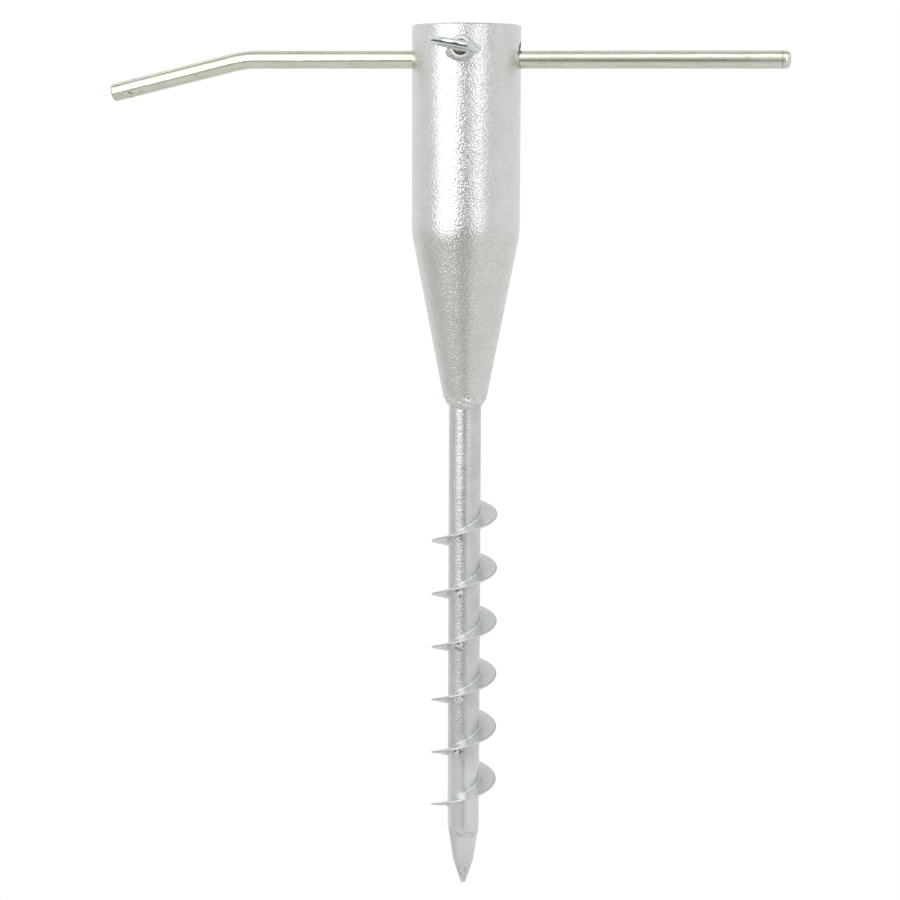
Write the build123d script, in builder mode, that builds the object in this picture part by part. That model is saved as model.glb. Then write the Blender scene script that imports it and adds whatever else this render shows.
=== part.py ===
"""Screw-in ground socket: a swaged tube on a round steel shank that carries a helical flight,
turned into the earth by a loose bar through two cross holes and closed on its pole by an eye screw.

Millimetres. The origin is the centre of the socket's mouth, +Z points up out of it, the turning bar
runs along X with its bent end at -X, and the clamp screw stands out towards -Y.
"""

from build123d import *
import os

os.makedirs("parts", exist_ok=True)

# ---------------------------------------------------------------- driving dimensions
# socket tube and its swaged cone
tube_r = 24.15                  # 48.3 mm tube
tube_wall = 2.0
mouth_lead_depth = 21.0         # the bore widens a little towards the mouth, to lead the pole in
mouth_lead = 0.5
rim_chamfer = 0.5
shoulder_z = -91.4              # tube turns into cone
shoulder_round = 40.0
cone_end_z = -164.3
cone_end_r = 10.0
cone_bore_r = 7.45              # the swaged end closes on the shank

# shank with a forged point
shank_r = 7.25
shank_top_z = -148.0            # hidden end, up inside the cone
shank_top_chamfer = 1.0
point_start_z = -364.4
point_break_z = -380.4          # the slow taper ends and the blunt nose begins
point_break_r = 4.75
point_tip_z = -392.0
tip_r = 1.0
point_round = 14.0              # softens the start of the taper
nose_round = 9.0
tip_round = 1.2

# weld bead between cone and shank
neck_weld_crown_z = -165.3      # the bead starts flush with the cone, turns in here
neck_weld_crown_r = 9.7
neck_weld_end_z = -168.9
neck_weld_toe = 0.15

# helical flight, right-handed
flight_r = 14.95
flight_root = 1.7               # blade thickness at the shank
flight_edge = 1.3               # and at its outer edge
flight_pitch = 24.71
flight_low_z = -354.63          # middle of the blade at its lower, leading end
flight_low_deg = 185.5          # where that end stands round the shank, from +X
flight_turns = 5.78

# turning bar, loose in its holes and lying on their lower edges
bar_r = 4.0
bar_axis_z = -14.95
bar_right_x = 142.4
bend_start_x = -93.7
bend_r = 48.0
bend_deg = 13.7
bar_arm = 56.8
bar_right_round = 2.4
bar_left_round = 1.2             # sheared end, only just broken at its edge
bar_hole_r = 6.1
bar_hole_z = -12.9

# clamp screw and the threaded boss it runs in
screw_z = -10.4
boss_r = 4.9
boss_face_y = -28.4
boss_edge = 0.5
thread_r = 3.0
thread_gap = 0.05               # running clearance of the screw in its thread
thread_mouth = 0.5
screw_hole_r = 3.4              # plain hole through the tube wall behind the boss
boss_weld_top_y = -26.4
boss_weld_crown_y = -25.1
boss_weld_crown_r = 6.2
boss_weld_foot_y = -22.9        # below the crown of the tube, to follow its curve sideways
boss_weld_foot_r = 7.0
eye_centre_y = -49.0
eye_r = 9.0                     # centre line of the ring
eye_wire_r = 1.85
eye_roll_deg = 11.1             # the ring's own turn about the screw's axis
eye_crank_deg = 2.3             # the ring is bent up a little from that axis
neck_length = 4.0
neck_end_r = 1.7
screw_tip_y = -18.6
screw_tip_chamfer = 0.9


# ---------------------------------------------------------------- socket
bore_r = tube_r - tube_wall
with BuildPart() as socket_tube:
    with BuildSketch(Plane.XZ):
        with BuildLine():
            outer = FilletPolyline(
                (tube_r, 0), (tube_r, shoulder_z), (cone_end_r, cone_end_z), radius=shoulder_round
            )
            inner = FilletPolyline(
                (cone_bore_r, cone_end_z),
                (bore_r, shoulder_z),
                (bore_r, -mouth_lead_depth),
                radius=shoulder_round - tube_wall,
            )
            Line(outer @ 1, inner @ 0)
            Polyline(inner @ 1, (bore_r + mouth_lead, 0), outer @ 0)
        make_face()
    revolve(axis=Axis.Z)
    rim_edges = edges().filter_by(GeomType.CIRCLE).group_by(Axis.Z)[-1]
    chamfer(rim_edges.sort_by(SortBy.RADIUS)[-1], rim_chamfer)
    with BuildSketch(Plane.YZ):
        with Locations((0, bar_hole_z)):
            Circle(bar_hole_r)
    extrude(amount=2 * tube_r, both=True, mode=Mode.SUBTRACT)
    with BuildSketch(Plane.XZ):
        with Locations((0, screw_z)):
            Circle(screw_hole_r)
    extrude(amount=2 * tube_r, mode=Mode.SUBTRACT)

# ---------------------------------------------------------------- shank
with BuildPart() as shank:
    with BuildSketch(Plane.XZ):
        with BuildLine():
            side = FilletPolyline(
                (shank_r, shank_top_z - shank_top_chamfer),
                (shank_r, point_start_z),
                (point_break_r, point_break_z),
                (tip_r, point_tip_z),
                (0, point_tip_z),
                radius=(point_round, nose_round, tip_round),
            )
            Polyline(
                side @ 1,
                (0, shank_top_z),
                (shank_r - shank_top_chamfer, shank_top_z),
                side @ 0,
            )
        make_face()
    revolve(axis=Axis.Z)

# ---------------------------------------------------------------- weld between cone and shank
with BuildPart() as neck_weld:
    with BuildSketch(Plane.XZ):
        with BuildLine():
            Polyline(
                (cone_end_r, cone_end_z),
                (neck_weld_crown_r, neck_weld_crown_z),
                (shank_r + neck_weld_toe, neck_weld_end_z),
                (shank_r, neck_weld_end_z),
                (shank_r, cone_end_z),
                close=True,
            )
        make_face()
    revolve(axis=Axis.Z)

# ---------------------------------------------------------------- flight
with BuildPart() as flight:
    with BuildLine():
        path = Helix(
            pitch=flight_pitch,
            height=flight_pitch * flight_turns,
            radius=(shank_r + flight_r) / 2,
        )
    blade_half = (flight_r - shank_r) / 2
    with BuildSketch(Plane(origin=path @ 0, x_dir=(1, 0, 0), z_dir=path % 0)):
        with BuildLine():
            Polyline(
                (-blade_half, -flight_root / 2),
                (blade_half, -flight_edge / 2),
                (blade_half, flight_edge / 2),
                (-blade_half, flight_root / 2),
                close=True,
            )
        make_face()
    sweep(path=path, is_frenet=True)
flight.part = flight.part.rotate(Axis.Z, flight_low_deg).translate((0, 0, flight_low_z))

# ---------------------------------------------------------------- clamp boss and its weld
with BuildPart() as clamp_boss:
    with BuildSketch(Plane.XZ.offset(-boss_face_y)):
        with Locations((0, screw_z)):
            Circle(boss_r)
    extrude(amount=boss_face_y + tube_r - 2.0)
    chamfer(edges().filter_by(GeomType.CIRCLE).sort_by(Axis.Y)[0], boss_edge)
    with BuildSketch(Plane.XZ.offset(-boss_face_y)):
        with Locations((0, screw_z)):
            Circle(thread_r)
    extrude(amount=-2 * boss_r, mode=Mode.SUBTRACT)
    mouth = edges().filter_by(GeomType.CIRCLE).filter_by(lambda e: abs(e.radius - thread_r) < 0.01)
    chamfer(mouth.sort_by(Axis.Y)[0], thread_mouth)
    with BuildSketch(Plane.XY):
        Circle(tube_r)
    extrude(amount=4 * screw_z, mode=Mode.SUBTRACT)

screw_axis = Axis((0, 0, screw_z), (0, -1, 0))
screw_side = Plane(origin=(0, 0, screw_z), x_dir=(0, -1, 0), z_dir=(1, 0, 0))
with BuildPart() as boss_weld:
    with BuildSketch(screw_side):
        with BuildLine():
            Polyline(
                (-boss_weld_top_y, boss_r),
                (-boss_weld_crown_y, boss_weld_crown_r),
                (-boss_weld_foot_y, boss_weld_foot_r),
                (-boss_weld_foot_y, boss_r),
                close=True,
            )
        make_face()
    revolve(axis=screw_axis)
    with BuildSketch(Plane.XY):
        Circle(tube_r)
    extrude(amount=4 * screw_z, both=True, mode=Mode.SUBTRACT)

# ---------------------------------------------------------------- clamp screw with its eye
lateral = Vector(1, 0, 0).rotate(Axis.Y, eye_roll_deg)
eye_up = Vector(0, 0, 1).rotate(Axis.Y, eye_roll_deg).rotate(Axis((0, 0, 0), lateral), -eye_crank_deg)
eye_plane = Plane(origin=(0, eye_centre_y, screw_z), x_dir=lateral, z_dir=eye_up)
screw_r = thread_r - thread_gap
with BuildPart() as clamp_screw:
    neck_end = -eye_centre_y - eye_r
    with BuildSketch(screw_side):
        with BuildLine():
            Polyline(
                (-screw_tip_y, 0),
                (-screw_tip_y, screw_r - screw_tip_chamfer),
                (-screw_tip_y + screw_tip_chamfer, screw_r),
                (neck_end - neck_length, screw_r),
                (neck_end, neck_end_r),
                (neck_end, 0),
                close=True,
            )
        make_face()
    revolve(axis=screw_axis)
    with Locations(eye_plane):
        Torus(eye_r, eye_wire_r)

# ---------------------------------------------------------------- turning bar
with BuildPart() as turning_bar:
    with BuildLine(Plane.XZ) as bar_path:
        straight = Line((bar_right_x, bar_axis_z), (bend_start_x, bar_axis_z))
        bend = JernArc(start=straight @ 1, tangent=straight % 1, radius=bend_r, arc_size=bend_deg)
        Line(bend @ 1, bend @ 1 + bend % 1 * bar_arm)
    with BuildSketch(Plane(origin=bar_path.line @ 0, z_dir=bar_path.line % 0)):
        Circle(bar_r)
    sweep(path=bar_path.line)
    ends = edges().filter_by(GeomType.CIRCLE).sort_by(Axis.X)
    fillet(ends[0], bar_left_round)
    ends = edges().filter_by(GeomType.CIRCLE).sort_by(Axis.X)
    fillet(ends[-1], bar_right_round)

parts = {
    "socket_tube": socket_tube,
    "shank": shank,
    "neck_weld": neck_weld,
    "flight": flight,
    "clamp_boss": clamp_boss,
    "boss_weld": boss_weld,
    "clamp_screw": clamp_screw,
    "turning_bar": turning_bar,
}
for name, piece in parts.items():
    piece.part.label = name
    export_step(piece.part, f"parts/{name}.step")
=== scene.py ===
"""Finish of the screw-in ground socket: hot-dip zinc on the tube, shank and flight, a passivated
turning bar and a bright clamp screw, with the weld beads, tack welds and cut thread that they carry.

Metres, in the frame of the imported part: the mouth of the socket is at the origin and +Z points up.
"""

import math

import bpy
from mathutils import Euler, Matrix, Vector


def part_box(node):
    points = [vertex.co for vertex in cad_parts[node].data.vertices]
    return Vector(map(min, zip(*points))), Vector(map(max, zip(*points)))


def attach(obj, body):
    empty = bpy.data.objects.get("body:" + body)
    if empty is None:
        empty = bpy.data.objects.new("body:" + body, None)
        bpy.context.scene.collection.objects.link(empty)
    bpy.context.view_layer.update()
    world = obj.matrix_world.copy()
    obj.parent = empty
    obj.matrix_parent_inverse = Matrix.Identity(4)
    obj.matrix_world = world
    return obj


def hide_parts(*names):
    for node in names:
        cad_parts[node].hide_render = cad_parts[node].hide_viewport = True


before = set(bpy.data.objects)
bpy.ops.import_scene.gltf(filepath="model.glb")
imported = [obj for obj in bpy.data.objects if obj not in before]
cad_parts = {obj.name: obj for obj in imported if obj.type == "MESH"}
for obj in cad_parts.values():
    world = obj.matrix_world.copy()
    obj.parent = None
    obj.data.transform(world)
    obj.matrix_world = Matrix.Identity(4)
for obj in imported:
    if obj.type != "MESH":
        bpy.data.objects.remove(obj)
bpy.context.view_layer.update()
MM = 0.001

# ---------------------------------------------------------------- sizes taken from the frame
tube_low, tube_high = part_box("socket_tube")
boss_low, boss_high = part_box("clamp_boss")
neck_low, neck_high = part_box("neck_weld")

tube_r = tube_high.x
shank_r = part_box("shank")[1].x
flight_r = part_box("flight")[1].x
screw_tip_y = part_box("clamp_screw")[1].y
screw_axis_z = (boss_low.z + boss_high.z) / 2
boss_r = (boss_high.z - boss_low.z) / 2

# ---------------------------------------------------------------- sizes of what is made here
flight_pitch = 24.71 * MM
flight_turns = 5.78
flight_angle = math.radians(185.5)      # where its lower end stands round the shank, from +X
flight_start_z = -354.63 * MM
flight_root = 1.5 * MM
flight_edge = 0.85 * MM
root_bead_r = 0.34 * MM
root_bead_off = (0.12 * MM, 0.1 * MM)   # how far its middle stands off the shank and off the blade

drop_turn = math.radians(14.5)          # the drop of weld on the neck bead, right of the front
drop_reach = 9.2 * MM
drop_below = 1.8 * MM                   # under the top of the neck weld
drop_tilt = math.radians(28)
drop_size = (1.7 * MM, 0.8 * MM, 1.0 * MM)

tack_count = 5
tack_angle = math.radians(256.0)        # left of the middle of the front
tack_below = 2.7 * MM                   # under the middle of the blade

thread_pitch = 1.0 * MM
thread_r = 2.95 * MM
thread_depth = 0.55 * MM
eye_r = 9.0 * MM
eye_wire_r = 1.85 * MM
eye_centre_y = -49.0 * MM
eye_roll = math.radians(11.1)
eye_crank = math.radians(2.3)
neck_length = 4.0 * MM
neck_end_r = 1.7 * MM

# where the finishes change: each pair is where a change starts and where it is complete
swage_z = (-86 * MM, -96 * MM)
bore_skin_r = (tube_r - 1.4 * MM, tube_r - 1.1 * MM)
forge_z = (-328 * MM, -338 * MM)
ring_mark_z = -367.4 * MM
nose_z = (-381 * MM, -385 * MM)
bar_worn_x = (-144 * MM, -150 * MM)
bar_step_x = 138.6 * MM
boss_rim_r = (boss_r - 0.5 * MM, boss_r - 0.35 * MM)
boss_mouth_r = (3.4 * MM, 3.65 * MM)
# the lower edge of the painted shade in the boss's mouth
boss_mouth_shade_z = (-10 * MM, -12 * MM)
flight_green_r = (shank_r + 0.5 * MM, shank_r + 4.5 * MM)
# where the painted shade along the blade's outer edge starts and is complete
flight_edge_shade_r = (flight_r - 0.75 * MM, flight_r - 0.35 * MM)
eye_shade_line_z = -0.5 * MM                  # in the eye's own plane, a little under its middle, where the line of painted shade runs
eye_shade_line_x = (5.0 * MM, 7.0 * MM)
spread = (0.3, 0.7)                     # nearly all of a noise lies between these

# ---------------------------------------------------------------- sizes of the studio
camera_distance = 1.02
camera_height = -0.053
camera_azimuth = math.radians(5.5)
camera_pitch = math.radians(7.616)
camera_aside = math.radians(0.378)
camera_roll = math.radians(0.2)
camera_lens = 90.84
world_level = 0.65
floor_z = -0.75
floor_centre = Vector((0.0, -0.9, floor_z))
floor_r = 1.85
floor_fade = (0.72, 0.97)               # shares of its radius between which it turns white
floor_gleam_x = (-0.8, 1.0)
floor_gleam = (0.1, 1.0)                # how far the floor shows white to the metal at those two places
softbox_distance = 1.3
softboxes = {                           # azimuth and elevation in degrees, width, height, radiance
    "left_softbox": (-30.2, 11.0, 1.1, 0.94, 1.85),
    "right_softbox": (31.0, 11.0, 0.44, 0.75, 1.1),
    "top_softbox": (5.0, 51.0, 3.2, 0.76, 0.8),
    "left_top_softbox": (-115.0, 46.0, 1.8, 0.6, 0.3),
}
boards = {                              # shade, lower left and upper right corner
    "table_edge": (0.15, (-0.8, -1.38, -0.35), (0.5, -1.38, -0.21)),
    "room": (0.5, (-0.45, -1.42, -0.60), (-0.06, -1.42, 0.38)),
    "tripod": (0.4, (-0.06, -1.4, -0.70), (0.2, -1.4, 0.2)),
    "tripod_leg": (0.62, (-0.06, -0.85, -0.74), (0.2, -0.85, -0.45)),
    "ceiling": (0.35, (-1.2, -0.11, 0.9), (1.2, 0.11, 0.9)),
    "door": (0.75, (1.05, -1.0, -0.3), (1.3, -0.7, 0.6)),
    "back_wall": (0.8, (-1.6, 0.9, 0.5), (1.6, 0.9, 1.3)),
    "bench": (0.6, (-1.4, 0.5, -0.55), (-1.4, -0.7, -0.28)),
}


# ---------------------------------------------------------------- helpers for every node tree
def feed(tree, value, socket):
    """Links an output to a socket, or sets the socket to a plain number or colour."""
    if isinstance(value, bpy.types.NodeSocket):
        tree.links.new(value, socket)
    else:
        socket.default_value = value


def reckon(tree, operation, first, second=None):
    """One Math node on outputs or numbers."""
    node = tree.nodes.new("ShaderNodeMath")
    node.operation = operation
    feed(tree, first, node.inputs[0])
    if second is not None:
        feed(tree, second, node.inputs[1])
    return node.outputs[0]


def times(tree, first, second):
    """The product of two outputs, or of an output and a number."""
    return reckon(tree, "MULTIPLY", first, second)


def axis_of(tree, where, axis):
    """The X, Y or Z of a place."""
    split = tree.nodes.new("ShaderNodeSeparateXYZ")
    tree.links.new(where, split.inputs["Vector"])
    return split.outputs[axis]


# ---------------------------------------------------------------- finishes
def linear(shade):
    """A screen shade from 0 to 255 as a linear value."""
    s = shade / 255
    return s / 12.92 if s <= 0.04045 else ((s + 0.055) / 1.055) ** 2.4


def colour(red, green, blue):
    """A colour from screen shades from 0 to 255."""
    return (linear(red), linear(green), linear(blue), 1.0)


def new_finish(name, metallic):
    """A metal, its node tree and shader, and the outputs that give places on the piece."""
    finish = bpy.data.materials.new(name)
    finish.use_nodes = True
    tree = finish.node_tree
    shader = tree.nodes["Principled BSDF"]
    shader.inputs["Metallic"].default_value = metallic
    return finish, tree, shader, tree.nodes.new("ShaderNodeTexCoord").outputs


def stretched(tree, where, scale):
    """Places scaled along each axis, so that a scale under 1 draws a pattern out."""
    mapping = tree.nodes.new("ShaderNodeMapping")
    mapping.inputs["Scale"].default_value = scale
    tree.links.new(where, mapping.inputs["Vector"])
    return mapping.outputs["Vector"]


def speckle(tree, where, grain, detail=2.0, roughness=0.5, distortion=0.0):
    """Noise with grains of about the given size in metres."""
    noise = tree.nodes.new("ShaderNodeTexNoise")
    noise.inputs["Scale"].default_value = 1 / grain
    noise.inputs["Detail"].default_value = detail
    noise.inputs["Roughness"].default_value = roughness
    noise.inputs["Distortion"].default_value = distortion
    tree.links.new(where, noise.inputs["Vector"])
    return noise.outputs["Fac"]


def remap(tree, value, low, high, start=0.0, end=1.0):
    """A value moved from the range low-high to start-end, clamped."""
    node = tree.nodes.new("ShaderNodeMapRange")
    for label, number in (("From Min", low), ("From Max", high), ("To Min", start), ("To Max", end)):
        node.inputs[label].default_value = number
    tree.links.new(value, node.inputs["Value"])
    return node.outputs["Result"]


def band(tree, value, middle, inner, outer, strength=1.0):
    """The given strength within inner of a middle value, fading to nothing at outer."""
    off = reckon(tree, "ABSOLUTE", reckon(tree, "SUBTRACT", value, middle))
    return remap(tree, off, inner, outer, strength, 0.0)


def mixed(tree, share, first, second):
    """Two colours, or colour outputs, mixed by a share."""
    node = tree.nodes.new("ShaderNodeMix")
    node.data_type = "RGBA"
    tree.links.new(share, node.inputs["Factor"])
    feed(tree, first, node.inputs[6])
    feed(tree, second, node.inputs[7])
    return node.outputs[2]


def reach_of(tree, where, centre, keep):
    """How far a place is from a centre, counting only the axes that keep names with a 1."""
    moved, kept, length = (tree.nodes.new("ShaderNodeVectorMath") for _ in range(3))
    moved.operation, kept.operation, length.operation = "SUBTRACT", "MULTIPLY", "LENGTH"
    moved.inputs[1].default_value = centre
    kept.inputs[1].default_value = keep
    tree.links.new(where, moved.inputs[0])
    tree.links.new(moved.outputs["Vector"], kept.inputs[0])
    tree.links.new(kept.outputs["Vector"], length.inputs[0])
    return length.outputs["Value"]


def dress(tree, shader, tone, rough, layers):
    """Gives a shader its colour and roughness, and layers of (height output, depth in metres)."""
    feed(tree, tone, shader.inputs["Base Color"])
    feed(tree, rough, shader.inputs["Roughness"])
    normal = None
    for height, depth in layers:
        bump = tree.nodes.new("ShaderNodeBump")
        bump.inputs["Distance"].default_value = depth
        tree.links.new(height, bump.inputs["Height"])
        if normal is not None:
            tree.links.new(normal, bump.inputs["Normal"])
        normal = bump.outputs["Normal"]
    tree.links.new(normal, shader.inputs["Normal"])


def tube_finish():
    """Zinc on the tube: even on the straight, coarser and flecked on the swaged cone, pale in the bore."""
    finish, tree, shader, coords = new_finish("tube_zinc", 1.0)
    where = coords["Object"]
    flatter = stretched(tree, where, (1, 1, 1.15))
    clouds = speckle(tree, flatter, 10 * MM, detail=3.0, roughness=0.6)
    fine = speckle(tree, flatter, 0.85 * MM, detail=1.0, roughness=0.6, distortion=0.2)
    wave = speckle(tree, flatter, 7 * MM, detail=1.0)
    share = remap(tree, clouds, *spread)
    straight = mixed(tree, share, colour(210, 210, 208), colour(203, 203, 201))
    cone = mixed(tree, share, colour(212, 213, 208), colour(203, 204, 199))
    flecked = mixed(tree, remap(tree, fine, 0.35, 0.65, 0.0, 0.5), cone, colour(176, 177, 172))
    swaged = remap(tree, axis_of(tree, where, "Z"), *swage_z)
    outside = mixed(tree, swaged, straight, flecked)
    bore = remap(tree, reach_of(tree, where, (0, 0, 0), (1, 1, 0)), *bore_skin_r, 1.0, 0.0)
    straight_bore = times(tree, bore, remap(tree, swaged, 0, 1, 1.0, 0.0))
    tone = mixed(tree, straight_bore, outside, colour(236, 236, 233))
    grain = times(tree, fine, remap(tree, swaged, 0, 1, 1.0, 0.9))
    rough = remap(tree, fine, *spread, 0.16, 0.26)
    dress(tree, shader, tone, rough, [(grain, 0.22 * MM), (wave, 0.03 * MM)])
    return finish


def bar_finish():
    """Yellow-passivated zinc: streaks along the bar, bluish clouds, dark flecks and a worn bent end."""
    finish, tree, shader, coords = new_finish("passivated_zinc", 1.0)
    where = coords["Object"]
    along_bar = axis_of(tree, where, "X")
    drawn_out = stretched(tree, where, (0.4, 1, 1))
    clouds = speckle(tree, drawn_out, 7 * MM)
    scuffs = speckle(tree, drawn_out, 1.2 * MM, detail=1.0, distortion=0.4)
    streaks = speckle(tree, stretched(tree, where, (0.12, 1, 1)), 1.3 * MM, detail=3.0, roughness=0.6)
    flecks = speckle(tree, stretched(tree, where, (0.35, 1, 1)), 1.1 * MM, detail=1.0)
    tone = mixed(tree, remap(tree, streaks, *spread), colour(212, 214, 197), colour(196, 199, 182))
    tone = mixed(tree, remap(tree, clouds, 0.5, 0.68, 0.0, 0.75), tone, colour(203, 210, 208))
    tone = mixed(tree, remap(tree, flecks, 0.2, 0.31, 0.45, 0.0), tone, colour(120, 120, 100))
    darkened = times(tree, remap(tree, along_bar, *bar_worn_x), remap(tree, scuffs, 0.58, 0.66, 0.0, 0.6))
    tone = mixed(tree, darkened, tone, colour(96, 92, 74))
    step = band(tree, along_bar, bar_step_x, 0.15 * MM, 0.45 * MM, 0.45)
    tone = mixed(tree, step, tone, colour(110, 108, 90))
    rough = remap(tree, streaks, *spread, 0.1, 0.2)
    dress(tree, shader, tone, rough, [(streaks, 0.03 * MM), (clouds, 0.03 * MM)])
    return finish


def shank_finish():
    """Zinc over a rolled bar: grainy down the shank, smooth on the forged point, whose paler colour is a
    painted reflection of the floor below it.
    """
    finish, tree, shader, coords = new_finish("shank_zinc", 0.9)
    where = coords["Object"]
    level = axis_of(tree, where, "Z")
    clouds = speckle(tree, where, 9 * MM, detail=3.0, roughness=0.6)
    fine = speckle(tree, where, 0.75 * MM, detail=1.5, roughness=0.6, distortion=0.2)
    share = remap(tree, clouds, *spread)
    point = remap(tree, level, *forge_z)
    shank = mixed(tree, share, colour(202, 204, 202), colour(187, 189, 187))
    # The point's paler colour is a painted reflection: pointing down, it mirrors the pale floor. Its
    # smoother grain is its own.
    forged = mixed(tree, share, colour(212, 215, 213), colour(202, 205, 203))
    tone = mixed(tree, point, shank, forged)
    ring_marks = times(
        tree,
        band(tree, level, ring_mark_z, 0.7 * MM, 1.6 * MM),
        remap(tree, speckle(tree, where, 1.3 * MM), 0.5, 0.62, 0.0, 0.55),
    )
    tone = mixed(tree, ring_marks, tone, colour(120, 120, 118))
    lines = speckle(tree, stretched(tree, where, (1, 1, 0.2)), 0.9 * MM)
    nose_marks = times(tree, remap(tree, level, *nose_z), remap(tree, lines, 0.45, 0.62, 0.0, 0.5))
    tone = mixed(tree, nose_marks, tone, colour(140, 140, 138))
    grain = times(tree, fine, remap(tree, point, 0, 1, 1.0, 0.15))
    dress(tree, shader, tone, remap(tree, fine, *spread, 0.19, 0.3), [(grain, 0.18 * MM)])
    return finish


def flight_finish():
    """Zinc on the blade, greener towards the shank, with painted shade along its outer edge, heavier on the
    faces that point up.
    """
    finish, tree, shader, coords = new_finish("flight_zinc", 0.7)
    where = coords["Object"]
    clouds = speckle(tree, where, 7 * MM, detail=3.0, roughness=0.6)
    fine = speckle(tree, where, 1.0 * MM, detail=2.5, roughness=0.6, distortion=0.3)
    out = reach_of(tree, where, (0, 0, 0), (1, 1, 0))
    tone = mixed(tree, clouds, colour(212, 213, 210), colour(200, 202, 198))
    tone = mixed(tree, remap(tree, out, *flight_green_r, 0.8, 0.0), tone, colour(197, 207, 204))
    # Painted shade: a dark rim along the blade's outer edge, heavier on the faces that point up.
    faces_up = remap(tree, axis_of(tree, coords["Normal"], "Z"), 0.5, 0.8, 0.22, 0.5)
    darkened = times(tree, remap(tree, out, *flight_edge_shade_r), faces_up)
    tone = mixed(tree, darkened, tone, colour(110, 112, 108))
    rough = remap(tree, fine, *spread, 0.26, 0.38)
    dress(tree, shader, tone, rough, [(fine, 0.05 * MM), (clouds, 0.06 * MM)])
    return finish


def weld_finish(name, bright, dull, pits):
    """Lumpy zinc over weld metal, with dark pits over the given share of it."""
    finish, tree, shader, coords = new_finish(name, 0.85)
    where = coords["Object"]
    fine = speckle(tree, where, 1.0 * MM, roughness=0.6, distortion=0.3)
    lumps = speckle(tree, where, 2.2 * MM, detail=1.0)
    holes = speckle(tree, where, 1.5 * MM, detail=1.0)
    tone = mixed(tree, remap(tree, lumps, *spread), colour(*bright), colour(*dull))
    dark = remap(tree, holes, 0.25 + 0.2 * pits, 0.32 + 0.27 * pits, 0.75, 0.0)
    tone = mixed(tree, dark, tone, colour(72, 72, 66))
    rough = remap(tree, fine, *spread, 0.2, 0.34)
    dress(tree, shader, tone, rough, [(fine, 0.3 * MM), (lumps, 0.15 * MM)])
    return finish


def bead_finish():
    """Smooth zinc on the thin beads and the drop: cloudy, with a fine grain and a slow wave."""
    finish, tree, shader, coords = new_finish("bead_zinc", 0.7)
    where = coords["Object"]
    clouds = speckle(tree, where, 9 * MM, detail=3.0, roughness=0.6)
    fine = speckle(tree, where, 0.8 * MM, detail=2.5, roughness=0.6, distortion=0.3)
    wave = speckle(tree, where, 6 * MM, detail=1.0)
    tone = mixed(tree, remap(tree, clouds, *spread), colour(218, 220, 220), colour(206, 209, 209))
    rough = remap(tree, fine, *spread, 0.2, 0.3)
    dress(tree, shader, tone, rough, [(fine, 0.01 * MM), (wave, 0.02 * MM)])
    return finish


def boss_finish():
    """Pale zinc on the boss, greyer at its edge, with painted shade in the lower part of its mouth, under
    the screw.
    """
    finish, tree, shader, coords = new_finish("boss_zinc", 0.3)
    where = coords["Object"]
    fine = speckle(tree, where, 0.9 * MM)
    out = reach_of(tree, where, (0, 0, screw_axis_z), (1, 0, 1))
    pale = mixed(tree, fine, colour(244, 246, 240), colour(233, 235, 228))
    tone = mixed(tree, remap(tree, out, *boss_rim_r), pale, colour(196, 197, 193))
    # Painted shade: dark in the mouth round the screw, on its lower side only, where the screw shades it.
    mouth = remap(tree, out, *boss_mouth_r, 1.0, 0.0)
    mouth_shade = times(tree, mouth, remap(tree, axis_of(tree, where, "Z"), *boss_mouth_shade_z))
    tone = mixed(tree, mouth_shade, tone, colour(72, 72, 62))
    dress(tree, shader, tone, 0.35, [(fine, 0.03 * MM)])
    return finish


def screw_finish():
    """Bright zinc, with a broken line of painted shade along the lower front of the eye."""
    finish, tree, shader, coords = new_finish("bright_zinc", 1.0)
    fine = speckle(tree, coords["Object"], 1.2 * MM)
    turned = tree.nodes.new("ShaderNodeMapping")
    turned.vector_type = "TEXTURE"
    turned.inputs["Location"].default_value = (0, eye_centre_y, screw_axis_z)
    turned.inputs["Rotation"].default_value = (-eye_crank, eye_roll, 0)
    tree.links.new(coords["Object"], turned.inputs["Vector"])
    on_eye = turned.outputs["Vector"]
    # Painted shade: a broken dark line along the lower front of the eye, where the gap between its front and
    # back wire falls dark.
    shade_line = band(tree, axis_of(tree, on_eye, "Z"), eye_shade_line_z, 0.2 * MM, 0.55 * MM)
    broken = times(tree, shade_line, remap(tree, fine, 0.3, 0.42, 0.6, 1.0))
    left_of_end = remap(tree, axis_of(tree, on_eye, "X"), *eye_shade_line_x, 1.0, 0.0)
    tone = mixed(tree, fine, colour(206, 215, 214), colour(196, 206, 206))
    tone = mixed(tree, times(tree, broken, left_of_end), tone, colour(76, 80, 68))
    dress(tree, shader, tone, remap(tree, fine, *spread, 0.07, 0.14), [(fine, 0.06 * MM)])
    return finish


tube_zinc = tube_finish()
shank_zinc = shank_finish()
flight_zinc = flight_finish()
weld_zinc = weld_finish("weld_zinc", (218, 218, 216), (192, 192, 188), 0.0)
tack_zinc = weld_finish("tack_zinc", (222, 223, 221), (198, 199, 196), 0.55)
# The thread's dark colour is painted shade, for the dark gap between the screw and the mouth of the boss.
thread_painted_shade = weld_finish("thread_painted_shade", (120, 122, 114), (96, 98, 90), 0.0)
bead_zinc = bead_finish()
boss_zinc = boss_finish()
bright_zinc = screw_finish()
passivated_zinc = bar_finish()


def paint(piece, finish):
    """Gives every material slot of a piece one finish."""
    if not piece.data.materials:
        piece.data.materials.append(finish)
    for i in range(len(piece.data.materials)):
        piece.data.materials[i] = finish


for node, finish in (
    ("socket_tube", tube_zinc),
    ("shank", shank_zinc),
    ("clamp_boss", boss_zinc),
    ("turning_bar", passivated_zinc),
):
    paint(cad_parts[node], finish)


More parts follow.
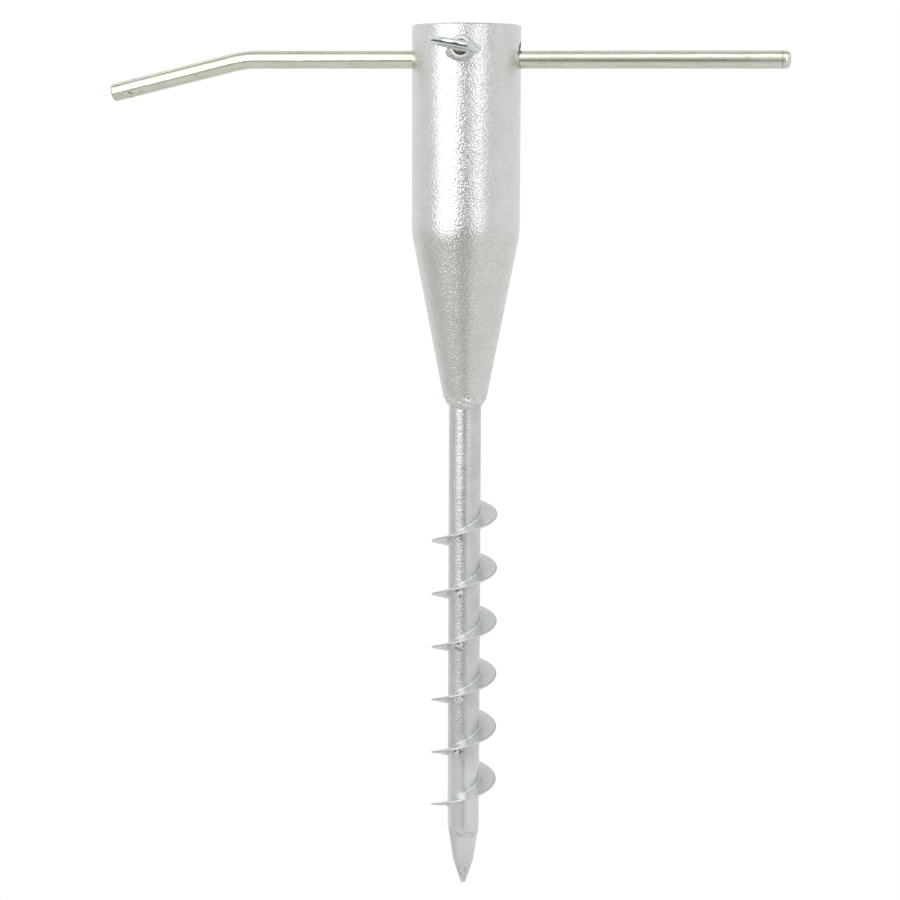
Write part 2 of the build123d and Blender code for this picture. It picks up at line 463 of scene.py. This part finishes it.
# ---------------------------------------------------------------- Geometry Nodes helpers
def new_tree(name, sizes, takes_mesh=False):
    """A Geometry Nodes tree with named inputs, the outputs that give them, and its output node."""
    tree = bpy.data.node_groups.new(name, "GeometryNodeTree")
    tree.interface.new_socket("Geometry", in_out="OUTPUT", socket_type="NodeSocketGeometry")
    if takes_mesh:
        tree.interface.new_socket("Mesh", in_out="INPUT", socket_type="NodeSocketGeometry")
    for label, value in sizes.items():
        kind = "NodeSocketInt" if isinstance(value, int) else "NodeSocketFloat"
        tree.interface.new_socket(label, in_out="INPUT", socket_type=kind).default_value = value
    return tree, tree.nodes.new("NodeGroupInput").outputs, tree.nodes.new("NodeGroupOutput")


def finish_tree(tree, geometry, out, finish):
    """Ends a tree in Realize Instances and Set Material."""
    realize = tree.nodes.new("GeometryNodeRealizeInstances")
    dress = tree.nodes.new("GeometryNodeSetMaterial")
    dress.inputs["Material"].default_value = finish
    tree.links.new(geometry, realize.inputs["Geometry"])
    tree.links.new(realize.outputs["Geometry"], dress.inputs["Geometry"])
    tree.links.new(dress.outputs["Geometry"], out.inputs["Geometry"])


def grow(name, tree, sizes, base=None):
    """Runs a tree with these sizes, on a base mesh or on nothing, and returns a plain mesh object."""
    host = bpy.data.objects.new(name + "_host", base or bpy.data.meshes.new(name + "_host"))
    bpy.context.scene.collection.objects.link(host)
    modifier = host.modifiers.new("grow", "NODES")
    modifier.node_group = tree
    sockets = {s.name: s.identifier for s in tree.interface.items_tree if s.in_out == "INPUT"}
    for label, value in sizes.items():
        modifier[sockets[label]] = value
    evaluated = host.evaluated_get(bpy.context.evaluated_depsgraph_get())
    mesh = bpy.data.meshes.new_from_object(evaluated)
    bpy.data.objects.remove(host)
    mesh.name = name
    piece = bpy.data.objects.new(name, mesh)
    bpy.context.scene.collection.objects.link(piece)
    mesh.shade_smooth()
    mesh.set_sharp_from_angle(angle=math.radians(40))
    return piece


def scaled(tree, vector, amount):
    """A vector made longer or shorter by an output."""
    node = tree.nodes.new("ShaderNodeVectorMath")
    node.operation = "SCALE"
    tree.links.new(vector, node.inputs[0])
    tree.links.new(amount, node.inputs["Scale"])
    return node.outputs["Vector"]


def vector_of(tree, x=None, y=None, z=None):
    """A vector from the outputs given for its axes, and nothing along the others."""
    vector = tree.nodes.new("ShaderNodeCombineXYZ")
    for socket, value in zip(vector.inputs, (x, y, z)):
        if value is not None:
            tree.links.new(value, socket)
    return vector.outputs["Vector"]


def pushed(tree, geometry, amount):
    """The surface moved along its normal by an amount."""
    normal = tree.nodes.new("GeometryNodeInputNormal").outputs["Normal"]
    moved = tree.nodes.new("GeometryNodeSetPosition")
    tree.links.new(geometry, moved.inputs["Geometry"])
    tree.links.new(scaled(tree, normal, amount), moved.inputs["Offset"])
    return moved.outputs["Geometry"]


def roughened(tree, geometry, grain, depth, seed):
    """Moves the surface in and out along its normal by noise, as zinc and weld metal lie."""
    noise = tree.nodes.new("ShaderNodeTexNoise")
    noise.noise_dimensions = "4D"
    tree.links.new(reckon(tree, "DIVIDE", 1.0, grain), noise.inputs["Scale"])
    tree.links.new(seed, noise.inputs["W"])
    in_and_out = reckon(tree, "SUBTRACT", noise.outputs["Fac"], 0.5)
    return pushed(tree, geometry, times(tree, in_and_out, depth))


def helix(tree, get):
    """A right-handed helix about +Z from z = 0, with its normals level."""
    spiral = tree.nodes.new("GeometryNodeCurveSpiral")
    spiral.inputs["Reverse"].default_value = True
    for label, value in (
        ("Resolution", get["Steps a Turn"]),
        ("Rotations", get["Turns"]),
        ("Start Radius", get["Helix Radius"]),
        ("End Radius", get["Helix Radius"]),
        ("Height", times(tree, get["Pitch"], get["Turns"])),
    ):
        tree.links.new(value, spiral.inputs[label])
    level = tree.nodes.new("GeometryNodeSetCurveNormal")
    level.mode = "Z_UP"
    tree.links.new(spiral.outputs["Curve"], level.inputs["Curve"])
    return level.outputs["Curve"]


def four_cornered(tree, corners):
    """A closed profile through four corners."""
    outline = tree.nodes.new("GeometryNodeCurvePrimitiveQuadrilateral")
    outline.mode = "POINTS"
    for i, place in enumerate(corners, 1):
        tree.links.new(place, outline.inputs[f"Point {i}"])
    return outline.outputs["Curve"]


def rounded(tree, profile, rounding, steps):
    """A profile with rounded corners and even points round it."""
    bend = tree.nodes.new("GeometryNodeFilletCurve")
    bend.mode = "POLY"
    bend.inputs["Count"].default_value = 5
    tree.links.new(profile, bend.inputs["Curve"])
    tree.links.new(rounding, bend.inputs["Radius"])
    even = tree.nodes.new("GeometryNodeResampleCurve")
    even.inputs["Count"].default_value = steps
    tree.links.new(bend.outputs["Curve"], even.inputs["Curve"])
    return even.outputs["Curve"]


def swept(tree, path, profile):
    """A profile carried along a path, with its ends closed."""
    sweep = tree.nodes.new("GeometryNodeCurveToMesh")
    sweep.inputs["Fill Caps"].default_value = True
    tree.links.new(path, sweep.inputs["Curve"])
    tree.links.new(profile, sweep.inputs["Profile Curve"])
    return sweep.outputs["Mesh"]


def stood(tree, get, geometry):
    """Turned about +Z to its start angle and raised to its start height."""
    move = tree.nodes.new("GeometryNodeTransform")
    tree.links.new(geometry, move.inputs["Geometry"])
    tree.links.new(vector_of(tree, z=get["Start Height"]), move.inputs["Translation"])
    tree.links.new(vector_of(tree, z=get["Start Angle"]), move.inputs["Rotation"])
    return move.outputs["Geometry"]


# ---------------------------------------------------------------- flight and the beads along its root
def flight_tree():
    """A helical blade, thinner at its outer edge, with rounded corners and a slightly uneven zinc skin."""
    tree, get, out = new_tree("flight_blade", {
        "Helix Radius": 0.011, "Pitch": 0.025, "Turns": 1.0, "Steps a Turn": 180,
        "Half Width": 0.004, "Root Thickness": 0.0017, "Edge Thickness": 0.0013, "Edge Rounding": 0.0005,
        "Start Angle": 0.0, "Start Height": 0.0, "Skin Grain": 0.004, "Skin Depth": 0.0001, "Seed": 1.0,
    })
    outward, inward = get["Half Width"], times(tree, get["Half Width"], -1)
    root, edge = times(tree, get["Root Thickness"], 0.5), times(tree, get["Edge Thickness"], 0.5)
    profile = four_cornered(tree, (
        vector_of(tree, inward, times(tree, root, -1)),
        vector_of(tree, outward, times(tree, edge, -1)),
        vector_of(tree, outward, edge),
        vector_of(tree, inward, root),
    ))
    blade = swept(tree, helix(tree, get), rounded(tree, profile, get["Edge Rounding"], 44))
    blade = roughened(tree, blade, get["Skin Grain"], get["Skin Depth"], get["Seed"])
    finish_tree(tree, stood(tree, get, blade), out, flight_zinc)
    return tree


def bead_tree():
    """A thin weld bead on a helix."""
    tree, get, out = new_tree("root_bead", {
        "Helix Radius": 0.007, "Pitch": 0.025, "Turns": 1.0, "Steps a Turn": 180, "Bead Radius": 0.0005,
        "Start Angle": 0.0, "Start Height": 0.0, "Skin Grain": 0.002, "Skin Depth": 0.0001, "Seed": 1.0,
    })
    round_profile = tree.nodes.new("GeometryNodeCurvePrimitiveCircle")
    round_profile.inputs["Resolution"].default_value = 12
    tree.links.new(get["Bead Radius"], round_profile.inputs["Radius"])
    bead = swept(tree, helix(tree, get), round_profile.outputs["Curve"])
    bead = roughened(tree, bead, get["Skin Grain"], get["Skin Depth"], get["Seed"])
    finish_tree(tree, stood(tree, get, bead), out, bead_zinc)
    return tree


def make_flight():
    """The blade stands for the plain one, and a bead of zinc lies along each side of its root."""
    buried = 0.6 * MM
    inner_r = shank_r - buried
    shared = {"Pitch": flight_pitch, "Turns": flight_turns, "Start Angle": flight_angle}
    blade = grow("flight_blade", flight_tree(), shared | {
        "Helix Radius": (inner_r + flight_r) / 2,
        "Half Width": (flight_r - inner_r) / 2,
        "Root Thickness": flight_root,
        "Edge Thickness": flight_edge,
        "Edge Rounding": flight_edge * 0.42,
        "Start Height": flight_start_z,
        "Skin Grain": 5 * MM,
        "Skin Depth": 0.12 * MM,
    })
    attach(blade, "anchor")
    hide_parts("flight")
    beads = bead_tree()
    lean = math.cos(math.atan2(flight_pitch, 2 * math.pi * shank_r))
    off_shank, off_blade = root_bead_off
    for name, side, seed in (("root_bead_upper", 1, 3.0), ("root_bead_lower", -1, 8.0)):
        bead = grow(name, beads, shared | {
            "Helix Radius": shank_r + off_shank,
            "Bead Radius": root_bead_r,
            "Start Height": flight_start_z + side * (flight_root / 2 + off_blade) / lean,
            "Skin Grain": 2.2 * MM,
            "Skin Depth": 0.22 * MM,
            "Seed": seed,
        })
        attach(bead, "anchor")


# ---------------------------------------------------------------- turned pieces and weld skin
def lathe(rows, steps=96, swell=None):
    """A closed mesh turned about +Z from (radius, height) rows that run round its outline counter-clockwise.

    Rows that start and end on the axis close in poles, and others close on themselves as a ring.
    swell(turn, row) gives what is added to the radius and the height of a row at a turn.
    """
    solid = rows[0][0] == 0
    rings = rows[1:-1] if solid else rows
    vertices = []
    for row, (radius, height) in enumerate(rings):
        for i in range(steps):
            turn = 2 * math.pi * i / steps
            more_r, more_z = swell(turn, row) if swell else (0, 0)
            r = radius + more_r
            vertices.append((r * math.cos(turn), r * math.sin(turn), height + more_z))
    faces = []
    bands = len(rings) - 1 if solid else len(rings)
    for band in range(bands):
        low, high = band * steps, (band + 1) % len(rings) * steps
        for i in range(steps):
            after = (i + 1) % steps
            faces.append((low + i, low + after, high + after, high + i))
    if solid:
        vertices += [(0, 0, rows[0][1]), (0, 0, rows[-1][1])]
        bottom, top = len(vertices) - 2, len(vertices) - 1
        last = (len(rings) - 1) * steps
        for i in range(steps):
            after = (i + 1) % steps
            faces.append((bottom, after, i))
            faces.append((last + i, last + after, top))
    mesh = bpy.data.meshes.new("turned")
    mesh.from_pydata(vertices, [], faces)
    return mesh


def add_piece(name, mesh, finish, crease=40):
    """A mesh as an object at the origin, with its finish and smooth faces."""
    mesh.name = name
    piece = bpy.data.objects.new(name, mesh)
    bpy.context.scene.collection.objects.link(piece)
    paint(piece, finish)
    mesh.shade_smooth()
    mesh.set_sharp_from_angle(angle=math.radians(crease))
    return piece


def joined(name, pieces):
    """Several pieces made one."""
    with bpy.context.temp_override(
        active_object=pieces[0], selected_editable_objects=pieces, selected_objects=pieces
    ):
        bpy.ops.object.join()
    pieces[0].name = pieces[0].data.name = name
    return pieces[0]


def along_screw():
    """Turns a piece made about +Z so that it stands on the screw's axis, +Z outwards along -Y."""
    return Matrix.Translation((0, 0, screw_axis_z)) @ Matrix.Rotation(math.pi / 2, 4, "X")


def weld_tree():
    """The skin of a hand-laid bead: ripples round its axis, and lumps."""
    tree, get, out = new_tree("weld_skin", {
        "Ripples": 30.0, "Ripple Depth": 0.0002, "Skin Grain": 0.003, "Skin Depth": 0.0003, "Seed": 1.0,
    }, takes_mesh=True)
    where = tree.nodes.new("GeometryNodeInputPosition").outputs["Position"]
    turn = reckon(tree, "ARCTAN2", axis_of(tree, where, "Y"), axis_of(tree, where, "X"))
    wave = reckon(tree, "SINE", times(tree, turn, get["Ripples"]))
    bead = pushed(tree, get["Mesh"], times(tree, wave, get["Ripple Depth"]))
    bead = roughened(tree, bead, get["Skin Grain"], get["Skin Depth"], get["Seed"])
    finish_tree(tree, bead, out, weld_zinc)
    return tree


def make_neck_weld(skin):
    """The bead that closes the cone on the shank: it sags a little towards the front."""
    end, top = neck_low.z, neck_high.z + 0.3 * MM
    inner_r, cone_r = shank_r - 0.4 * MM, neck_high.x
    steps, sagging_rows = 14, 9
    fullness, sag_depth, fold_depth = 0.35 * MM, 1.2 * MM, 0.1 * MM
    sag_turn = math.radians(-82)
    rows = [(inner_r, end - 0.2 * MM)]
    for i in range(steps + 1):
        share = i / steps
        round_out = fullness * math.sin(math.pi * share)
        rows.append((shank_r + (cone_r - shank_r) * share + round_out, end + (top - end) * share ** 1.15))
    rows.append((inner_r, top))

    def sag(turn, row):
        front = max(0.0, math.cos(turn - sag_turn)) ** 2
        low = math.sin(math.pi * min(row, steps) / steps)
        folds = math.sin(5 * turn + 0.8 * row) + 1.4 * front * math.sin(2.4 * row + 3 * turn)
        return fold_depth * low * folds, -sag_depth * front * max(0.0, 1 - row / sagging_rows)

    bead = grow("neck_bead", skin, {
        "Ripples": 24.0,
        "Ripple Depth": 0.06 * MM,
        "Skin Grain": 2.6 * MM,
        "Skin Depth": 0.5 * MM,
        "Seed": 4.0,
    }, lathe(rows, 200, sag))
    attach(bead, "anchor")
    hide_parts("neck_weld")


def make_neck_drop():
    """A flat drop of weld on the front of the neck bead."""
    bpy.ops.mesh.primitive_uv_sphere_add(segments=48, ring_count=24, radius=1.0)
    drop = bpy.context.object
    drop.name = drop.data.name = "neck_drop"
    place = Matrix.Translation((0, -drop_reach, neck_high.z - drop_below))
    lie = Matrix.Rotation(drop_tilt, 4, "Y") @ Matrix.Diagonal((*drop_size, 1))
    drop.data.transform(Matrix.Rotation(drop_turn, 4, "Z") @ place @ lie)
    paint(drop, bead_zinc)
    drop.data.shade_smooth()
    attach(drop, "anchor")


def make_boss_weld(skin):
    """The fillet round the boss, heavier below and to one side where the welder finished."""
    foot_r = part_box("boss_weld")[1].x
    top = -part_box("boss_weld")[0].y
    foot = tube_r - 1.6 * MM
    inner_r = boss_r - 0.4 * MM
    steps, fullness = 12, 0.25 * MM
    heavy_side, end_side, end_width = math.radians(255), math.radians(205), math.radians(18)
    heavier, end_lump = 1.7, 1.5
    rows = [(inner_r, foot)]
    for i in range(steps + 1):
        share = i / steps
        round_out = fullness * math.sin(math.pi * share)
        rows.append((foot_r + (boss_r - foot_r) * share + round_out, foot + (top - foot) * share))
    rows.append((inner_r, top))

    def run_out(turn, row):
        if row == 0:
            return 0.0, 0.0
        below = 0.5 + 0.5 * math.cos(turn - heavy_side)
        at_end = math.exp(-((turn - end_side) / end_width) ** 2)
        return (heavier * below + end_lump * at_end - heavier) * MM * max(0.0, 1 - row / steps), 0.0

    bead = grow("boss_bead", skin, {
        "Ripples": 17.0,
        "Ripple Depth": 0.06 * MM,
        "Skin Grain": 2.2 * MM,
        "Skin Depth": 0.45 * MM,
        "Seed": 9.0,
    }, lathe(rows, 160, run_out))
    bead.data.transform(along_screw())
    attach(bead, "anchor")
    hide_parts("boss_weld")


# ---------------------------------------------------------------- tack welds under the blade
def tack_tree():
    """Flat lumps of weld, one above another, a blade's pitch apart."""
    tree, get, out = new_tree("tack_welds", {
        "Count": 5, "Pitch": 0.025, "Stand Off": 0.007,
        "Width": 0.0022, "Height": 0.0026, "Thickness": 0.0009, "Smallest": 0.7, "Largest": 1.15,
        "Start Angle": 0.0, "Start Height": 0.0, "Skin Grain": 0.0015, "Skin Depth": 0.0006, "Seed": 1.0,
    })
    nodes, links = tree.nodes, tree.links
    row = nodes.new("GeometryNodeMeshLine")
    links.new(get["Count"], row.inputs["Count"])
    links.new(vector_of(tree, x=get["Stand Off"]), row.inputs["Start Location"])
    links.new(vector_of(tree, z=get["Pitch"]), row.inputs["Offset"])
    lump = nodes.new("GeometryNodeMeshIcoSphere")
    lump.inputs["Subdivisions"].default_value = 5
    lump.inputs["Radius"].default_value = 1.0
    vary = nodes.new("FunctionNodeRandomValue")
    vary.data_type = "FLOAT"
    links.new(get["Smallest"], vary.inputs[2])
    links.new(get["Largest"], vary.inputs[3])
    links.new(times(tree, get["Seed"], get["Seed"]), vary.inputs["Seed"])
    size = vector_of(tree, get["Thickness"], get["Width"], get["Height"])
    place = nodes.new("GeometryNodeInstanceOnPoints")
    links.new(row.outputs["Mesh"], place.inputs["Points"])
    links.new(lump.outputs["Mesh"], place.inputs["Instance"])
    links.new(scaled(tree, size, vary.outputs[1]), place.inputs["Scale"])
    real = nodes.new("GeometryNodeRealizeInstances")
    links.new(place.outputs["Instances"], real.inputs["Geometry"])
    lumps = roughened(tree, real.outputs["Geometry"], get["Skin Grain"], get["Skin Depth"], get["Seed"])
    finish_tree(tree, stood(tree, get, lumps), out, tack_zinc)
    return tree


def make_tack_welds():
    """One tack a turn, in line down the front of the shank, under the blade."""
    turns_up = (tack_angle - flight_angle) / (2 * math.pi) + 1
    blade_z = flight_start_z + flight_pitch * turns_up
    tacks = grow("tack_welds", tack_tree(), {
        "Count": tack_count,
        "Pitch": flight_pitch,
        "Stand Off": shank_r - 0.2 * MM,
        "Width": 2.2 * MM,
        "Height": 2.9 * MM,
        "Thickness": 0.95 * MM,
        "Start Angle": tack_angle,
        "Start Height": blade_z - tack_below,
        "Skin Grain": 1.3 * MM,
        "Skin Depth": 0.6 * MM,
        "Seed": 5.0,
    })
    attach(tacks, "anchor")


# ---------------------------------------------------------------- clamp screw
def thread_tree():
    """One screw thread: a ridge with a flat crest on a helix."""
    tree, get, out = new_tree("screw_thread", {
        "Helix Radius": 0.0025, "Pitch": 0.001, "Turns": 10.0, "Steps a Turn": 48,
        "Ridge Height": 0.0005, "Start Angle": 0.0, "Start Height": 0.0,
    })
    half, crest = times(tree, get["Pitch"], 0.46), times(tree, get["Pitch"], 0.07)
    foot, top = times(tree, get["Ridge Height"], -0.35), get["Ridge Height"]
    profile = four_cornered(tree, (
        vector_of(tree, foot, times(tree, half, -1)),
        vector_of(tree, top, times(tree, crest, -1)),
        vector_of(tree, top, crest),
        vector_of(tree, foot, half),
    ))
    finish_tree(tree, stood(tree, get, swept(tree, helix(tree, get), profile)), out, thread_painted_shade)
    return tree


def ring(steps=128, sides=40):
    """The eye's wire about +Z, a little thicker on the +X side, where its end was closed."""
    flattened, closing = 0.88, 0.28
    wire_r = 0.99 * eye_wire_r              # so that the wire lies just inside its plain ring
    vertices, faces = [], []
    for i in range(steps):
        turn = 2 * math.pi * i / steps
        tall = eye_wire_r * (flattened + closing * max(0.0, math.cos(turn)) ** 2)
        for j in range(sides):
            side = 2 * math.pi * j / sides
            r = eye_r + wire_r * math.cos(side)
            vertices.append((r * math.cos(turn), r * math.sin(turn), tall * math.sin(side)))
            after_i, after_j = (i + 1) % steps, (j + 1) % sides
            here, beyond = i * sides, after_i * sides
            faces.append((here + j, beyond + j, beyond + after_j, here + after_j))
    mesh = bpy.data.meshes.new("ring")
    mesh.from_pydata(vertices, [], faces)
    return mesh


def make_clamp_screw():
    """The screw with a cut thread, a turned neck and an eye of round wire."""
    tip, neck_end = -screw_tip_y, -eye_centre_y - eye_r
    neck = neck_end - neck_length
    root_r = thread_r - thread_depth
    tip_chamfer, neck_flare, thread_run_out = 0.5 * MM, 0.3 * MM, 0.9 * MM
    core = add_piece("eye_screw", lathe([
        (0, tip),
        (root_r - tip_chamfer, tip),
        (root_r, tip + tip_chamfer),
        (root_r, neck),
        (neck_end_r + neck_flare, neck + neck_length * 0.8),
        (neck_end_r, neck_end),
        (0, neck_end),
    ]), bright_zinc)
    thread = grow("thread", thread_tree(), {
        "Helix Radius": root_r,
        "Pitch": thread_pitch,
        "Turns": (neck - tip - thread_run_out) / thread_pitch,
        "Ridge Height": thread_depth,
        "Start Height": tip + tip_chamfer,
    })
    for piece in (core, thread):
        piece.data.transform(along_screw())
    eye = add_piece("eye", ring(), bright_zinc)
    roll = Matrix.Rotation(eye_roll, 4, "Y")
    crank = Matrix.Rotation(-eye_crank, 4, "X")
    eye.data.transform(Matrix.Translation((0, eye_centre_y, screw_axis_z)) @ roll @ crank)
    screw = joined("eye_screw", [core, thread, eye])
    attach(screw, "clamp_screw")
    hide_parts("clamp_screw")


# ---------------------------------------------------------------- studio
def aim_camera():
    """The camera stands in front of the boss, a little to its right, and looks slightly down."""
    data = bpy.data.cameras.new("camera")
    data.lens = camera_lens
    data.sensor_width = 36.0
    data.clip_start = 0.05
    data.clip_end = 20.0
    camera = bpy.data.objects.new("camera", data)
    camera.location = (
        camera_distance * math.sin(camera_azimuth),
        -camera_distance * math.cos(camera_azimuth),
        camera_height,
    )
    level = Euler((math.pi / 2 - camera_pitch, 0, camera_azimuth + camera_aside)).to_matrix()
    camera.rotation_euler = (level @ Matrix.Rotation(camera_roll, 3, "Z")).to_euler()
    bpy.context.scene.collection.objects.link(camera)
    bpy.context.scene.camera = camera


def show_white(tree):
    """1 where a camera, glossy or transmission ray looks, and 0 for the light on the object."""
    path = tree.nodes.new("ShaderNodeLightPath").outputs
    in_metal_or_glass = reckon(tree, "MAXIMUM", path["Is Glossy Ray"], path["Is Transmission Ray"])
    return reckon(tree, "MAXIMUM", path["Is Camera Ray"], in_metal_or_glass)


def light_world():
    """A white room to look at, and a dimmer one that lights the object."""
    world = bpy.data.worlds.new("studio")
    bpy.context.scene.world = world
    world.use_nodes = True
    tree = world.node_tree
    background = tree.nodes["Background"]
    background.inputs["Color"].default_value = (1, 1, 1, 1)
    tree.links.new(remap(tree, show_white(tree), 0, 1, world_level, 1.0), background.inputs["Strength"])


def glowing(tree, shade):
    """A surface that shows one even shade and takes no light."""
    even = tree.nodes.new("ShaderNodeEmission")
    even.inputs["Color"].default_value = (shade, shade, shade, 1)
    even.inputs["Strength"].default_value = 1.0
    return even.outputs["Emission"]


def floor_paint():
    """Pale paint that shows white at the floor's far edge, and to the metal more white on the right."""
    material = bpy.data.materials.new("floor_paint")
    material.use_nodes = True
    tree = material.node_tree
    pale = tree.nodes["Principled BSDF"]
    pale.inputs["Base Color"].default_value = (0.8, 0.8, 0.8, 1)
    pale.inputs["Roughness"].default_value = 0.9
    pale.inputs["Specular IOR Level"].default_value = 0.0
    where = tree.nodes.new("ShaderNodeTexCoord").outputs["Object"]
    far, edge = (floor_r * share for share in floor_fade)
    fade = remap(tree, reach_of(tree, where, (0, 0, 0), (1, 1, 1)), far, edge)
    across = remap(tree, axis_of(tree, where, "X"), *floor_gleam_x, *floor_gleam)
    glossy = tree.nodes.new("ShaderNodeLightPath").outputs["Is Glossy Ray"]
    share = reckon(tree, "MAXIMUM", times(tree, fade, show_white(tree)), times(tree, across, glossy))
    mix = tree.nodes.new("ShaderNodeMixShader")
    tree.links.new(share, mix.inputs["Fac"])
    tree.links.new(pale.outputs["BSDF"], mix.inputs[1])
    tree.links.new(glowing(tree, 1.0), mix.inputs[2])
    tree.links.new(mix.outputs["Shader"], tree.nodes["Material Output"].inputs["Surface"])
    return material


def lay_floor():
    """A plain pale round floor under the object."""
    bpy.ops.mesh.primitive_circle_add(vertices=128, radius=floor_r, fill_type="NGON", location=floor_centre)
    floor = bpy.context.object
    floor.name = "floor"
    floor.data.materials.append(floor_paint())


def hang_board(name, shade, corner_low, corner_high):
    """A grey board that only the metal sees, between its lower left and its upper right corner."""
    (x0, y0, z0), (x1, y1, z1) = corner_low, corner_high
    if z0 == z1:
        corners = [(x0, y0, z0), (x1, y0, z0), (x1, y1, z1), (x0, y1, z1)]
    else:
        corners = [(x0, y0, z0), (x1, y1, z0), (x1, y1, z1), (x0, y0, z1)]
    mesh = bpy.data.meshes.new(name)
    mesh.from_pydata(corners, [], [(0, 1, 2, 3)])
    board = bpy.data.objects.new(name, mesh)
    bpy.context.scene.collection.objects.link(board)
    material = bpy.data.materials.new(name)
    material.use_nodes = True
    tree = material.node_tree
    tree.links.new(glowing(tree, shade), tree.nodes["Material Output"].inputs["Surface"])
    board.data.materials.append(material)
    board.visible_camera = False
    board.visible_diffuse = False
    board.visible_shadow = False


def hang_softbox(name, azimuth, elevation, width, height, radiance):
    """A soft rectangular lamp aimed at the middle of the tube."""
    data = bpy.data.lights.new(name, "AREA")
    data.shape = "RECTANGLE"
    data.size = width
    data.size_y = height
    data.energy = radiance * math.pi * width * height
    lamp = bpy.data.objects.new(name, data)
    turn, lift = math.radians(azimuth), math.radians(elevation)
    out = Vector((math.sin(turn) * math.cos(lift), -math.cos(turn) * math.cos(lift), math.sin(lift)))
    target = Vector((0, 0, tube_low.z / 2))
    lamp.location = target + out * softbox_distance
    lamp.rotation_euler = out.to_track_quat("Z", "Y").to_euler()
    lamp.visible_camera = False
    bpy.context.scene.collection.objects.link(lamp)


# ---------------------------------------------------------------- the object, then its studio
make_flight()
make_tack_welds()
weld_skin = weld_tree()
make_neck_weld(weld_skin)
make_neck_drop()
make_boss_weld(weld_skin)
make_clamp_screw()

bpy.context.scene.view_settings.view_transform = "Standard"
aim_camera()
light_world()
lay_floor()
for name, sizes in softboxes.items():
    hang_softbox(name, *sizes)
for name, sizes in boards.items():
    hang_board(name, *sizes)
